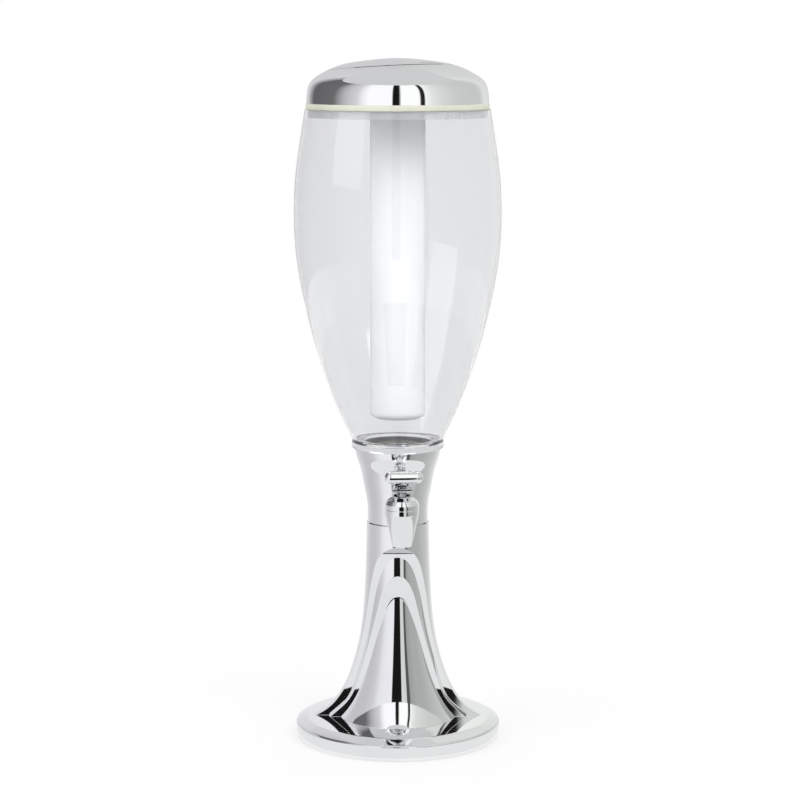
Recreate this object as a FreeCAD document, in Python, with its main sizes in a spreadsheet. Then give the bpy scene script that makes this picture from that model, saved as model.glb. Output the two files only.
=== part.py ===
import FreeCAD, Part
import math
import os
import Sketcher
from FreeCAD import Vector

# Free-standing drink tower: clear reservoir on a chrome column, lift-off lid with an ice tube,
# and a small lever tap at the front. Millimetres, +Z up, origin on the table under the column axis.

SIZES = {
    # Foot
    "foot_reveal": 1.0,
    "foot_radius": 78.6,
    "foot_height": 15.0,
    "foot_rim_height": 10.5,
    "foot_edge_inset": 1.2,
    "foot_bevel_width": 7.4,
    "foot_wall": 3.0,
    "foot_edge_round": 1.2,
    "post_count": 4,
    "post_inset": 8.6,
    "post_radius": 4.0,
    "screw_core_radius": 1.5,
    "screw_head_radius": 3.4,
    "screw_head_height": 0.8,
    "screw_length": 9.0,
    "cover_thickness": 2.2,
    "cover_gap": 0.3,
    "pad_radius": 7.0,
    "pad_inset": 11.0,
    "pad_recess": 0.8,
    "ballast_inner_radius": 22.0,
    "ballast_clearance": 2.0,
    "ballast_height": 8.0,
    # Pedestal with its nested arches
    "column_height": 152.0,
    "outer_top_reach": 23.8,
    "middle_top_reach": 18.4,
    "inner_top_reach": 15.6,
    "column_wall": 2.4,
    # Tie rod that clamps foot, pedestal and cup
    "rod_radius": 4.0,
    "fit_clearance": 0.05,
    "rod_hole_radius": 4.5,
    "rod_washer_radius": 12.0,
    "rod_washer_thickness": 2.0,
    "rod_nut_flats": 13.0,
    "rod_nut_height": 6.5,
    "rod_tail": 1.0,
    "rod_boss_radius": 8.5,
    "rod_boss_length": 20.0,
    "rod_engagement": 12.0,
    # Cup
    "cup_height": 61.8,
    "cup_foot_radius": 23.0,
    "cup_rim_radius": 33.2,
    "cup_wall": 2.4,
    "cup_floor_thickness": 2.4,
    "cup_floor_drop": 4.0,
    "cup_ledge_rise": 48.0,
    "cup_socket_radius": 28.5,
    "seam_gap": 0.6,
    "seam_depth": 0.9,
    "spigot_length": 16.0,
    "spigot_clearance": 0.15,
    "tap_pad_radius": 10.0,
    "tap_pad_reach": 26.0,
    "tap_pad_inner_reach": 19.4,
    # Barrel
    "barrel_height": 251.9,
    "barrel_mouth_reach": 69.8,
    "barrel_base_radius": 34.2,
    "barrel_wall": 2.2,
    "neck_wall": 2.4,
    "neck_clearance": 0.15,
    "bead_radius": 35.3,
    "bead_rise": 2.0,
    "bead_lap": 4.6,
    "gasket_thickness": 2.0,
    # Lid
    "lid_height": 33.6,
    "lid_radius": 68.4,
    "lid_wall": 2.2,
    "lid_seal_height": 4.4,
    "lid_seal_radius": 69.0,
    "plug_thickness": 2.4,
    "plug_skirt_length": 6.0,
    "plug_skirt_wall": 2.0,
    "plug_clearance": 0.3,
    "collar_height": 9.0,
    "collar_wall": 2.6,
    "crown_level": 26.2,
    "crown_tilt": 4.3,
    "crown_turn": -48.0,
    "crown_gap": 0.5,
    "crown_wall": 2.2,
    "crown_shelf_width": 3.3,
    "crown_shelf_height": 1.6,
    "filler_radius": 30.0,
    "filler_lip": 2.4,
    "filler_clearance": 0.3,
    "spigot_ring_wall": 2.2,
    "spigot_ring_length": 7.0,
    "notch_radius": 9.0,
    "notch_depth": 1.6,
    "notch_turn": 180.0,
    # Ice tube
    "tube_radius": 21.0,
    "tube_wall": 1.8,
    "tube_length": 247.6,
    "tube_corner_round": 5.0,
    "tube_flange_radius": 25.0,
    "tube_flange_thickness": 2.0,
    "tube_seal_thickness": 1.2,
    "core_clearance": 0.5,
    "core_length": 121.0,
    "core_nose_length": 38.0,
    # Tap
    "tap_turn": 4.5,
    "tap_rise": 11.0,
    "tap_reach": 42.0,
    "tap_body_radius": 12.8,
    "tap_nose_radius": 7.2,
    "tap_nose_drop": 22.0,
    "tap_shoulder": 3.0,
    "tap_body_rise": 6.6,
    "tap_bore_radius": 4.6,
    "tap_chamber_radius": 9.4,
    "tap_seat_drop": 5.6,
    "shank_radius": 6.4,
    "shank_bore_radius": 4.2,
    "shank_clearance": 0.2,
    "flange_radius": 10.0,
    "flange_thickness": 1.2,
    "washer_thickness": 1.6,
    "washer_radius": 9.6,
    "tap_nut_flats": 16.0,
    "tap_nut_height": 5.0,
    "shank_tail": 1.6,
    "bonnet_rim": 4.2,
    "bonnet_height": 10.0,
    "bonnet_top_radius": 8.0,
    "bonnet_skirt": 3.6,
    "bonnet_wall": 2.2,
    "bonnet_shoulder_rise": 3.6,
    "stem_radius": 2.6,
    "stem_clearance": 0.08,
    "stem_head_width": 5.6,
    "stem_head_radius": 3.6,
    "seat_cup_radius": 6.4,
    "seat_cup_height": 5.0,
    "seat_gap": 0.1,
    "stem_ring_radius": 4.4,
    "stem_ring_height": 1.8,
    # Lever with its lifting cam
    "pin_radius": 1.3,
    "pin_clearance": 0.05,
    "pin_rise": 21.6,
    "hub_radius": 4.5,
    "hub_width": 15.6,
    "hub_slot_clearance": 0.4,
    "cam_gap": 0.2,
    "lever_rest_angle": 36.0,
    "lever_travel_angle": 52.0,
    "valve_lift": 3.5,
    "lever_length": 20.0,
    "lever_web": 5.0,
    "lever_head_radius": 4.7,
    "lever_head_width": 28.8,
}

# Stations of the three nested lobes of the pedestal: height above the foot, then radius.
OUTER_LOBE = {"foot": (0, 64.0), "toe": (5, 55.6), "ankle": (14, 47.0), "shin": (34, 37.0),
              "knee": (66, 28.7), "waist": (96, 25.6)}
MIDDLE_LOBE = {"foot": (0, 53.5), "toe": (5, 48.0), "ankle": (14, 39.8), "shin": (34, 32.4),
               "knee": (66, 25.2), "waist": (96, 21.6)}
INNER_LOBE = {"foot": (0, 45.0), "toe": (5, 41.0), "ankle": (14, 35.6), "shin": (34, 28.3),
              "knee": (66, 21.3), "waist": (96, 17.2)}

# Half-depths of the two floors that cut the arches into the lobes, from the foot upwards.
OUTER_FLOOR = {"foot": (0, 5.5), "shin": (34, 8.0), "knee": (66, 10.5), "waist": (96, 12.9),
               "spring": (114, 15.9), "apex": (131, 21.2), "lead": (140, 26.0)}
MIDDLE_FLOOR = {"foot": (0, 10.2), "shin": (34, 13.2), "knee": (66, 14.6), "waist": (88, 16.4),
                "spring": (105, 18.5), "apex": (113, 20.4), "lead": (124, 24.0)}

# Outline stations of the cup above the seam and of the barrel above its foot.
CUP_OUTLINE = {"hip": (14.0, 23.3), "middle": (29.0, 25.9), "chest": (43.0, 28.9), "collar": (54.0, 32.3)}
BARREL_OUTLINE = {"low": (22.5, 43.9), "rise": (61.0, 58.4), "belly": (107.0, 70.6), "swell": (146.0, 77.1),
                  "widest": (172.0, 78.3), "ebb": (206.0, 76.6), "shoulder": (235.0, 72.4)}

# Outline stations of the lid dome above its rim.
LID_OUTLINE = {"wall": (10.0, 67.6), "bend": (16.0, 65.2), "slope": (22.0, 57.6),
               "crest": (27.8, 45.2), "brow": (31.4, 27.6)}


class Size:
    """A length known both as a number and as a spreadsheet expression."""

    def __init__(self, value, text):
        self.value = value
        self.text = text

    def joined(self, sign, other, value):
        return Size(value, "(" + self.text + sign + as_size(other).text + ")")

    def __add__(self, other):
        return self.joined(" + ", other, self.value + as_size(other).value)

    def __sub__(self, other):
        return self.joined(" - ", other, self.value - as_size(other).value)

    def __mul__(self, other):
        return self.joined(" * ", other, self.value * as_size(other).value)

    def __truediv__(self, other):
        return self.joined(" / ", other, self.value / as_size(other).value)


def as_size(number):
    return number if isinstance(number, Size) else Size(float(number), repr(float(number)))


doc = FreeCAD.newDocument("drink_tower")
sheet = doc.addObject("Spreadsheet::Sheet", "Sheet")
for prefix, stations in (("outer", OUTER_LOBE), ("middle", MIDDLE_LOBE), ("inner", INNER_LOBE),
                         ("outer_floor", OUTER_FLOOR), ("middle_floor", MIDDLE_FLOOR),
                         ("cup", CUP_OUTLINE), ("barrel", BARREL_OUTLINE), ("lid", LID_OUTLINE)):
    for station, (rise, reach) in stations.items():
        SIZES[prefix + "_" + station + "_rise"] = rise
        SIZES[prefix + "_" + station + "_reach"] = reach
for row, (alias, number) in enumerate(SIZES.items(), start=1):
    sheet.set("A" + str(row), alias)
    sheet.set("B" + str(row), repr(float(number)))
    sheet.setAlias("B" + str(row), alias)
doc.recompute()


def size(alias):
    return Size(float(sheet.get(alias)), "Sheet." + alias)


def stations_of(prefix, stations):
    """Outline points as (reach, rise) numbers read back from the sheet."""
    names = [prefix + "_" + station for station in stations]
    return [(size(name + "_reach").value, size(name + "_rise").value) for name in names]


# Levels of the stack above the table
foot_base = size("foot_reveal")
foot_top = foot_base + size("foot_height")
seam = foot_top + size("column_height")
cup_top = seam + size("cup_height")
barrel_base = cup_top + size("seam_gap") / 2
barrel_top = barrel_base + size("barrel_height")
lid_base = barrel_top + size("lid_seal_height")
tap_level = seam + size("tap_rise")

# Radii at which the foot's fittings sit
bevel_radius = size("foot_radius") - size("foot_edge_inset")
flat_radius = bevel_radius - size("foot_bevel_width")
post_pitch = size("foot_radius") - size("foot_wall") - size("post_inset")
pad_pitch = post_pitch - size("pad_inset")


def origin_feature(body, role):
    return [feature for feature in body.Origin.OriginFeatures if feature.Role == role][0]


def new_body(label):
    body = doc.addObject("PartDesign::Body", label)
    body.Label = label
    return body


def new_sketch(body, name, role):
    sketch = body.newObject("Sketcher::SketchObject", body.Label + "_" + name)
    sketch.AttachmentSupport = [(origin_feature(body, role), "")]
    sketch.MapMode = "FlatFace"
    return sketch


def bind(sketch, kind, elements, length):
    index = sketch.addConstraint(Sketcher.Constraint(kind, *elements, length.value))
    sketch.setExpression("Constraints[" + str(index) + "]", length.text)


def add_polygon(sketch, corners):
    """A closed outline whose corners are pinned to spreadsheet sizes."""
    corners = [(as_size(across), as_size(up)) for across, up in corners]
    first = sketch.GeometryCount
    count = len(corners)
    for index in range(count):
        start = corners[index]
        end = corners[(index + 1) % count]
        near = Vector(start[0].value, start[1].value, 0)
        far = Vector(end[0].value, end[1].value, 0)
        sketch.addGeometry(Part.LineSegment(near, far), False)
    for index in range(count):
        following = first + (index + 1) % count
        sketch.addConstraint(Sketcher.Constraint("Coincident", first + index, 2, following, 1))
    for index, (across, up) in enumerate(corners):
        bind(sketch, "DistanceX", (-1, 1, first + index, 1), across)
        bind(sketch, "DistanceY", (-1, 1, first + index, 1), up)


def add_circle(sketch, across, up, radius):
    across = as_size(across)
    up = as_size(up)
    circle = Part.Circle(Vector(across.value, up.value, 0), Vector(0, 0, 1), radius.value)
    index = sketch.addGeometry(circle, False)
    bind(sketch, "Radius", (index,), radius)
    bind(sketch, "DistanceX", (-1, 1, index, 3), across)
    bind(sketch, "DistanceY", (-1, 1, index, 3), up)


def revolution(body, name, corners, kind="PartDesign::Revolution"):
    """Solid (or groove) of revolution about the body's Z axis from (radius, height) corners."""
    sketch = new_sketch(body, name + "_outline", "XZ_Plane")
    add_polygon(sketch, corners)
    feature = body.newObject(kind, body.Label + "_" + name)
    feature.Profile = sketch
    feature.ReferenceAxis = (sketch, ["V_Axis"])
    feature.Angle = 360
    doc.recompute()
    return feature


def prism(body, name, role, outline, length, cut=False, midplane=False, reverse=False):
    """Pad or pocket of a sketch filled in by the outline function."""
    sketch = new_sketch(body, name + "_outline", role)
    outline(sketch)
    feature = body.newObject("PartDesign::Pocket" if cut else "PartDesign::Pad", body.Label + "_" + name)
    feature.Profile = sketch
    feature.setExpression("Length", length.text)
    feature.Length = length.value
    feature.Midplane = midplane
    feature.Reversed = reverse
    doc.recompute()
    return feature


def fillet(body, name, base, edges, radius):
    feature = body.newObject("PartDesign::Fillet", body.Label + "_" + name)
    feature.Base = (base, edges)
    feature.setExpression("Radius", radius.text)
    feature.Radius = radius.value
    doc.recompute()
    return feature


def round_edges(base, radius, level, tolerance=0.05):
    """Names of the circular edges of this radius at this height."""
    names = []
    for index, edge in enumerate(base.Shape.Edges, start=1):
        box = edge.BoundBox
        flat = abs(box.ZMin - level.value) < tolerance and abs(box.ZMax - level.value) < tolerance
        if flat and hasattr(edge.Curve, "Radius") and abs(edge.Curve.Radius - radius.value) < tolerance:
            names.append("Edge" + str(index))
    return names


def polar(body, name, feature, count):
    pattern = body.newObject("PartDesign::PolarPattern", body.Label + "_" + name)
    pattern.Originals = [feature]
    pattern.Axis = (origin_feature(body, "Z_Axis"), [""])
    pattern.Angle = 360
    pattern.setExpression("Occurrences", count.text)
    pattern.Occurrences = int(count.value)
    body.Tip = pattern
    doc.recompute()
    return pattern


def stand_on_axis(piece, level):
    piece.setExpression("Placement", "placement(vector(0; 0; " + as_size(level).text + "); rotation(0; 0; 0))")


def stand_at_tap(piece, level, roll="0"):
    """Places a piece on the tap's upright axis, turned with the cup."""
    across = "Sheet.tap_reach * sin(Sheet.tap_turn)"
    along = "-Sheet.tap_reach * cos(Sheet.tap_turn)"
    place = "vector(" + across + "; " + along + "; " + as_size(level).text + ")"
    piece.setExpression("Placement", "placement(" + place + "; rotation(Sheet.tap_turn; 0; " + roll + "))")


def shaped(label, shape, placement=None):
    """A sub-part whose free-form shape is computed from the sheet."""
    feature = doc.addObject("Part::Feature", label)
    feature.Label = label
    feature.Shape = shape
    if placement is not None:
        feature.Placement = placement
    return feature


# Free-form helpers

def spline(points, first_tangent=None, last_tangent=None):
    curve = Part.BSplineCurve()
    vectors = [Vector(across, 0, up) for across, up in points]
    if first_tangent is not None and last_tangent is not None:
        curve.interpolate(Points=vectors, InitialTangent=first_tangent, FinalTangent=last_tangent)
    else:
        curve.interpolate(Points=vectors)
    return curve.toShape()


def revolved_wire(edges):
    face = Part.Face(Part.Wire(Part.__sortEdges__(edges)))
    return face.revolve(Vector(0, 0, 0), Vector(0, 0, 1), 360)


def segment(start, end):
    return Part.LineSegment(Vector(start[0], 0, start[1]), Vector(end[0], 0, end[1])).toShape()


def revolved_under(points):
    """Solid of revolution between the axis and a spline through (radius, height) points."""
    low = points[0]
    high = points[-1]
    top = segment(high, (0, high[1]))
    axis = segment((0, high[1]), (0, low[1]))
    return revolved_wire([spline(points), top, axis, segment((0, low[1]), low)])


def inset(points, wall):
    """The same outline moved inwards by a wall, square to the curve at each station."""
    moved = []
    for index, (reach, rise) in enumerate(points):
        before = points[max(index - 1, 0)]
        after = points[min(index + 1, len(points) - 1)]
        run = before[0] - after[0]
        climb = after[1] - before[1]
        length = math.hypot(run, climb)
        moved.append((reach - wall * climb / length, rise - wall * run / length))
    return moved


def extended(points, low, high):
    """Outline carried straight down and up to the given heights along its end tangents."""
    def onward(near, end, height):
        slope = (end[0] - near[0]) / (end[1] - near[1])
        return (end[0] + slope * (height - end[1]), height)
    result = list(points)
    if result[0][1] > low:
        result.insert(0, onward(result[1], result[0], low))
    if result[-1][1] < high:
        result.append((result[-1][0], high))
    return result


# Foot: chrome disc with a bevelled shoulder, hollow underneath, with four screw posts

def make_foot_disc():
    body = new_body("foot_disc")
    outer = size("foot_radius")
    wall = size("foot_wall")
    height = size("foot_height")
    revolution(body, "disc", [
        (size("rod_hole_radius"), height), (size("rod_hole_radius"), height - wall),
        (flat_radius, height - wall), (outer - wall, size("foot_rim_height") - wall),
        (outer - wall, 0), (outer, 0), (outer, size("foot_rim_height")),
        (bevel_radius, size("foot_rim_height") + size("foot_edge_round")), (flat_radius, height)])
    length = height - wall - size("cover_thickness")
    post = prism(body, "post", "XY_Plane", lambda sketch: add_ring(
        sketch, post_pitch, 0, size("post_radius"), size("screw_core_radius")), length)
    post.Profile[0].setExpression("AttachmentOffset.Base.z", size("cover_thickness").text)
    doc.recompute()
    polar(body, "posts", post, size("post_count"))
    stand_on_axis(body, foot_base)


def add_ring(sketch, across, up, outer, inner):
    add_circle(sketch, across, up, outer)
    add_circle(sketch, across, up, inner)


def make_bottom_cover():
    body = new_body("bottom_cover")
    thickness = size("cover_thickness")
    radius = size("foot_radius") - size("foot_wall") - size("cover_gap")
    prism(body, "plate", "XY_Plane", lambda sketch: add_circle(sketch, 0, 0, radius), thickness)
    hole = prism(body, "screw_hole", "XY_Plane", lambda sketch: add_circle(
        sketch, post_pitch, 0, size("screw_core_radius") + size("cover_gap")),
        thickness, cut=True, reverse=True)
    polar(body, "screw_holes", hole, size("post_count"))
    head = prism(body, "head_recess", "XY_Plane", lambda sketch: add_circle(
        sketch, post_pitch, 0, size("screw_head_radius") + size("cover_gap")),
        size("screw_head_height"), cut=True, reverse=True)
    polar(body, "head_recesses", head, size("post_count"))
    recess = prism(body, "pad_recess", "XY_Plane", lambda sketch: add_circle(
        sketch, pad_pitch * math.cos(math.pi / 4), pad_pitch * math.sin(math.pi / 4),
        size("pad_radius") + size("cover_gap") / 3), size("pad_recess"), cut=True, reverse=True)
    polar(body, "pad_recesses", recess, size("post_count"))
    stand_on_axis(body, foot_base)


def make_rubber_feet():
    body = new_body("rubber_feet")
    foot = prism(body, "pad", "XY_Plane", lambda sketch: add_circle(
        sketch, pad_pitch * math.cos(math.pi / 4), pad_pitch * math.sin(math.pi / 4),
        size("pad_radius")), size("foot_reveal") + size("pad_recess"))
    polar(body, "pads", foot, size("post_count"))
    stand_on_axis(body, 0)


def make_cover_screws():
    body = new_body("cover_screws")
    shaft = prism(body, "shaft", "XY_Plane", lambda sketch: add_circle(
        sketch, post_pitch, 0, size("screw_core_radius") - size("fit_clearance")), size("screw_length"))
    head = prism(body, "head", "XY_Plane", lambda sketch: add_circle(
        sketch, post_pitch, 0, size("screw_head_radius")), size("screw_head_height"))
    pattern = polar(body, "screws", shaft, size("post_count"))
    pattern.Originals = [shaft, head]
    doc.recompute()
    stand_on_axis(body, foot_base)


def make_ballast():
    body = new_body("ballast")
    outer = post_pitch - size("post_radius") - size("ballast_clearance")
    inner = size("ballast_inner_radius")
    height = size("ballast_height")
    revolution(body, "ring", [(inner, 0), (outer, 0), (outer, height), (inner, height)])
    stand_on_axis(body, foot_base + size("cover_thickness"))


# Pedestal: three nested trumpet lobes, each trimmed by a curved floor that opens an arch at front and back

def lobe(points, floor, wall, low, high):
    body = revolved_under(extended(inset(points, wall), low, high))
    if floor is None:
        return body
    reach = 2 * points[0][0]
    edge = extended(inset(floor, wall), low, high)
    front = [Vector(-reach, -half, rise) for half, rise in edge]
    back = [Vector(-reach, half, rise) for half, rise in reversed(edge)]
    edges = []
    for run in (front, back):
        curve = Part.BSplineCurve()
        curve.interpolate(Points=run)
        edges.append(curve.toShape())
    edges.append(Part.LineSegment(front[-1], back[0]).toShape())
    edges.append(Part.LineSegment(back[-1], front[0]).toShape())
    slab = Part.Face(Part.Wire(Part.__sortEdges__(edges))).extrude(Vector(2 * reach, 0, 0))
    return body.common(slab)


def nested_lobes(wall, low, high):
    top = size("column_height").value
    outer = stations_of("outer", OUTER_LOBE) + [(size("outer_top_reach").value, top)]
    middle = stations_of("middle", MIDDLE_LOBE) + [(size("middle_top_reach").value, top)]
    inner = stations_of("inner", INNER_LOBE) + [(size("inner_top_reach").value, top)]
    return lobe(outer, stations_of("outer_floor", OUTER_FLOOR), wall, low, high).fuse([
        lobe(middle, stations_of("middle_floor", MIDDLE_FLOOR), wall, low, high),
        lobe(inner, None, wall, low, high)])


def make_pedestal():
    height = size("column_height").value
    wall = size("column_wall").value
    skin = nested_lobes(0, 0, height)
    hollow = nested_lobes(wall, -1, height + 1)
    shell = skin.cut(hollow)
    base = foot_top.value
    shaped("pedestal", shell.removeSplitter(), FreeCAD.Placement(Vector(0, 0, base), FreeCAD.Rotation()))


# Tie rod with nut and washer, from the foot up into the cup's boss

def make_tie_rod():
    body = new_body("tie_rod")
    start = foot_top - size("foot_wall") - size("rod_washer_thickness") - size("rod_nut_height") - size("rod_tail")
    finish = seam - size("rod_boss_length") + size("rod_engagement")
    prism(body, "rod", "XY_Plane", lambda sketch: add_circle(sketch, 0, 0, size("rod_radius")), finish - start)
    stand_on_axis(body, start)


def hexagon(sketch, flats):
    """Regular hexagon centred on the sketch origin, two corners on its horizontal axis."""
    half = flats / 2
    corner = flats / math.sqrt(3)
    add_polygon(sketch, [(corner, 0), (corner / 2, half), (corner * -0.5, half),
                         (corner * -1, 0), (corner * -0.5, half * -1), (corner / 2, half * -1)])


def make_rod_fasteners():
    nut = new_body("rod_nut")
    level = foot_top - size("foot_wall") - size("rod_washer_thickness") - size("rod_nut_height")
    prism(nut, "hex", "XY_Plane", lambda sketch: hexagon(sketch, size("rod_nut_flats")), size("rod_nut_height"))
    prism(nut, "thread", "XY_Plane", lambda sketch: add_circle(
        sketch, 0, 0, size("rod_radius") + size("fit_clearance")), size("rod_nut_height"), cut=True, reverse=True)
    stand_on_axis(nut, level)
    washer = new_body("rod_washer")
    inner = size("rod_radius") + size("fit_clearance")
    thickness = size("rod_washer_thickness")
    revolution(washer, "ring", [(inner, 0), (size("rod_washer_radius"), 0),
                                (size("rod_washer_radius"), thickness), (inner, thickness)])
    stand_on_axis(washer, level + size("rod_nut_height"))


# Cup: chrome bowl under the barrel, with a spigot into the column and a pad for the tap

def make_cup():
    height = size("cup_height").value
    gap = size("seam_gap").value
    wall = size("cup_wall").value
    foot = size("cup_foot_radius").value
    rim = size("cup_rim_radius").value
    drop = size("cup_floor_drop").value
    floor = size("cup_floor_thickness").value
    spigot = size("outer_top_reach").value - size("column_wall").value - size("spigot_clearance").value
    outline = [(foot, gap)] + stations_of("cup", CUP_OUTLINE) + [(rim, height)]
    inner = [(reach - wall, rise) for reach, rise in stations_of("cup", CUP_OUTLINE)[:-1]]
    ledge = size("cup_ledge_rise").value
    skin = revolved_under(outline)
    seat = Part.makeCylinder(foot - size("seam_depth").value, gap)
    root = Part.makeCylinder(spigot, size("spigot_length").value, Vector(0, 0, -size("spigot_length").value))
    skin = skin.fuse([seat, root])
    well = Part.makeCylinder(spigot - wall, drop + inner[0][1], Vector(0, 0, -drop))
    throat = Part.makeCylinder(inner[-1][0], ledge - inner[-1][1], Vector(0, 0, inner[-1][1]))
    socket = Part.makeCylinder(size("cup_socket_radius").value, height, Vector(0, 0, ledge))
    hollow = revolved_under(inner).fuse([throat, socket])
    pad_axis = Vector(0, -1, 0)
    level = tap_level.value - seam.value
    centre = Vector(0, 0, level)
    pad_radius = size("tap_pad_radius").value
    pad_reach = size("tap_pad_reach").value
    pad = Part.makeCylinder(pad_radius, pad_reach, centre, pad_axis)
    face = Part.makeCylinder(pad_radius, size("tap_pad_inner_reach").value, centre, pad_axis)
    hole_radius = size("shank_radius").value + size("shank_clearance").value
    hole = Part.makeCylinder(hole_radius, 2 * pad_reach, centre, pad_axis)
    below = Vector(0, 0, -1)
    under = Part.makeCylinder(spigot - wall, size("spigot_length").value, Vector(0, 0, -drop - floor), below)
    boss_length = size("rod_boss_length").value
    boss_start = Vector(0, 0, -drop - floor / 2)
    boss = Part.makeCylinder(size("rod_boss_radius").value, boss_length - drop - floor / 2, boss_start, below)
    bore_radius = size("rod_radius").value + size("fit_clearance").value
    bore = Part.makeCylinder(bore_radius, boss_length - drop - floor, Vector(0, 0, -boss_length))
    cup = skin.cut([well, hollow, under])
    cup = cup.fuse([pad.cut([well, hollow]), boss])
    cup = cup.cut([face, hole, bore]).removeSplitter()
    turn = FreeCAD.Rotation(Vector(0, 0, 1), size("tap_turn").value)
    shaped("cup", cup, FreeCAD.Placement(Vector(0, 0, seam.value), turn))


# Barrel: clear blown reservoir whose neck drops into the cup and whose bead laps its rim

def make_barrel():
    wall = size("barrel_wall").value
    rim = size("cup_rim_radius").value
    gap = size("neck_clearance").value
    neck = size("cup_socket_radius").value - gap
    bore = neck - size("neck_wall").value
    bead = size("bead_radius").value
    lap = size("bead_lap").value
    rise = size("bead_rise").value
    foot = (size("barrel_base_radius").value, rise)
    mouth = (size("barrel_mouth_reach").value, size("barrel_height").value)
    outline = [foot] + stations_of("barrel", BARREL_OUTLINE) + [mouth]
    inner = inset(outline, wall)
    inner[-1] = (outline[-1][0] - wall, outline[-1][1])
    length = neck_length().value
    bead_middle = Vector(bead, 0, (rise - lap) / 2)
    bead_arc = Part.Arc(Vector(rim + gap, 0, -lap), bead_middle, Vector(foot[0], 0, foot[1]))
    edges = [spline(outline), segment(outline[-1], inner[-1]), spline(inner), segment(inner[0], (bore, wall)),
             segment((bore, wall), (bore, -length)), segment((bore, -length), (neck, -length)),
             segment((neck, -length), (neck, 0)), segment((neck, 0), (rim + gap, 0)),
             segment((rim + gap, 0), (rim + gap, -lap)), bead_arc.toShape()]
    shaped("barrel", revolved_wire(edges), FreeCAD.Placement(Vector(0, 0, barrel_base.value), FreeCAD.Rotation()))


def neck_length():
    ledge = seam + size("cup_ledge_rise") + size("gasket_thickness")
    return barrel_base - ledge


def make_barrel_gasket():
    body = new_body("barrel_gasket")
    outer = size("cup_socket_radius") - size("neck_clearance")
    inner = outer - size("neck_wall")
    thickness = size("gasket_thickness")
    revolution(body, "ring", [(inner, 0), (outer, 0), (outer, thickness), (inner, thickness)])
    stand_on_axis(body, seam + size("cup_ledge_rise"))


# Lid: chrome dome with an inclined parting, a plug into the barrel's mouth and the removable crown

def dome_outline(wall):
    base = [(size("lid_radius").value, 0)] + stations_of("lid", LID_OUTLINE)
    return inset(base, wall) if wall else base


def dome(wall):
    outline = dome_outline(wall)
    top = size("lid_height").value - wall
    curve = spline(outline + [(0, top)], Vector(0, 0, 1), Vector(-1, 0, 0))
    low = outline[0]
    return revolved_wire([curve, segment((0, top), (0, low[1])), segment((0, low[1]), low)])


def above_parting(offset):
    """Everything above the crown's inclined parting plane, moved up by an offset."""
    reach = 3 * size("lid_radius").value
    block = Part.makeBox(reach, reach, reach, Vector(-reach / 2, -reach / 2, 0))
    turn = FreeCAD.Rotation(Vector(0, 0, 1), size("crown_turn").value)
    tilt = FreeCAD.Rotation(Vector(0, 1, 0), -size("crown_tilt").value)
    level = size("crown_level").value + offset
    block.Placement = FreeCAD.Placement(Vector(0, 0, level), turn.multiply(tilt))
    return block


def lid_placement():
    return FreeCAD.Placement(Vector(0, 0, lid_base.value), FreeCAD.Rotation())


def make_lid_shell():
    wall = size("lid_wall").value
    filler = Part.makeCylinder(size("filler_radius").value, size("lid_height").value)
    base = dome(0).cut(above_parting(0))
    hollow = dome(wall).cut(above_parting(-wall))
    lip = Part.makeCylinder(size("filler_radius").value + size("filler_lip").value, size("lid_height").value)
    lip_room = size("spigot_ring_length").value
    lip = lip.cut(above_parting(-wall / 2)).common(above_parting(-lip_room))
    shell = base.cut(hollow).fuse(lip).cut(filler).removeSplitter()
    shaped("lid_shell", shell, lid_placement())


def make_lid_crown():
    gap = size("crown_gap").value
    wall = size("crown_wall").value
    reach = size("filler_radius").value - size("filler_clearance").value
    ring_wall = size("spigot_ring_wall").value
    full = size("lid_height").value
    cap = dome(0).cut(dome(wall)).common(above_parting(gap))
    notch_radius = size("notch_radius").value
    turn = math.radians(size("notch_turn").value)
    edge = -cap.BoundBox.XMin + notch_radius - size("notch_depth").value
    notch = Part.makeCylinder(notch_radius, 2 * full, Vector(edge * math.cos(turn), edge * math.sin(turn), 0))
    ring = Part.makeCylinder(reach, full).cut(Part.makeCylinder(reach - ring_wall, full))
    ring = ring.common(dome(wall / 2)).common(above_parting(-size("spigot_ring_length").value))
    shelf_reach = reach + size("crown_shelf_width").value
    shelf = Part.makeCylinder(shelf_reach, full).cut(Part.makeCylinder(reach - ring_wall / 2, full))
    shelf = shelf.common(above_parting(gap)).cut(above_parting(gap + size("crown_shelf_height").value))
    crown = cap.cut(notch).fuse(ring).fuse(shelf)
    shaped("lid_crown", crown, lid_placement())


def make_crown_seal():
    filler = size("filler_radius").value
    gap = size("crown_gap").value
    outer = Part.makeCylinder(filler + size("filler_lip").value, size("lid_height").value)
    ring = outer.cut(Part.makeCylinder(filler, size("lid_height").value))
    ring = ring.common(above_parting(0)).cut(above_parting(gap))
    shaped("crown_seal", ring, lid_placement())


def make_lid_plug():
    body = new_body("lid_plug")
    gap = size("plug_clearance")
    skirt = size("barrel_mouth_reach") - size("barrel_wall") - gap
    bore = size("tube_radius") + gap
    thickness = size("plug_thickness")
    collar = bore + size("collar_wall")
    top = size("lid_seal_height") + size("plug_skirt_length")
    web = skirt - size("plug_skirt_wall")
    revolution(body, "disc", [
        (bore, top - thickness), (web, top - thickness), (web, 0), (skirt, 0), (skirt, top),
        (collar, top), (collar, top + size("collar_height")), (bore, top + size("collar_height"))])
    stand_on_axis(body, plug_base())


def plug_base():
    return barrel_top - size("plug_skirt_length")


def make_lid_seal():
    body = new_body("lid_seal")
    inner = size("barrel_mouth_reach") - size("barrel_wall") + size("plug_clearance") / 2
    outer = size("lid_seal_radius")
    height = size("lid_seal_height")
    revolution(body, "band", [(inner, 0), (outer, 0), (outer, height), (inner, height)])
    stand_on_axis(body, barrel_top)


# Ice tube hung from the lid's collar, with its seal and the round-nosed cooling core inside

def flange_level():
    return lid_base + size("collar_height") + size("tube_seal_thickness")


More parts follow.
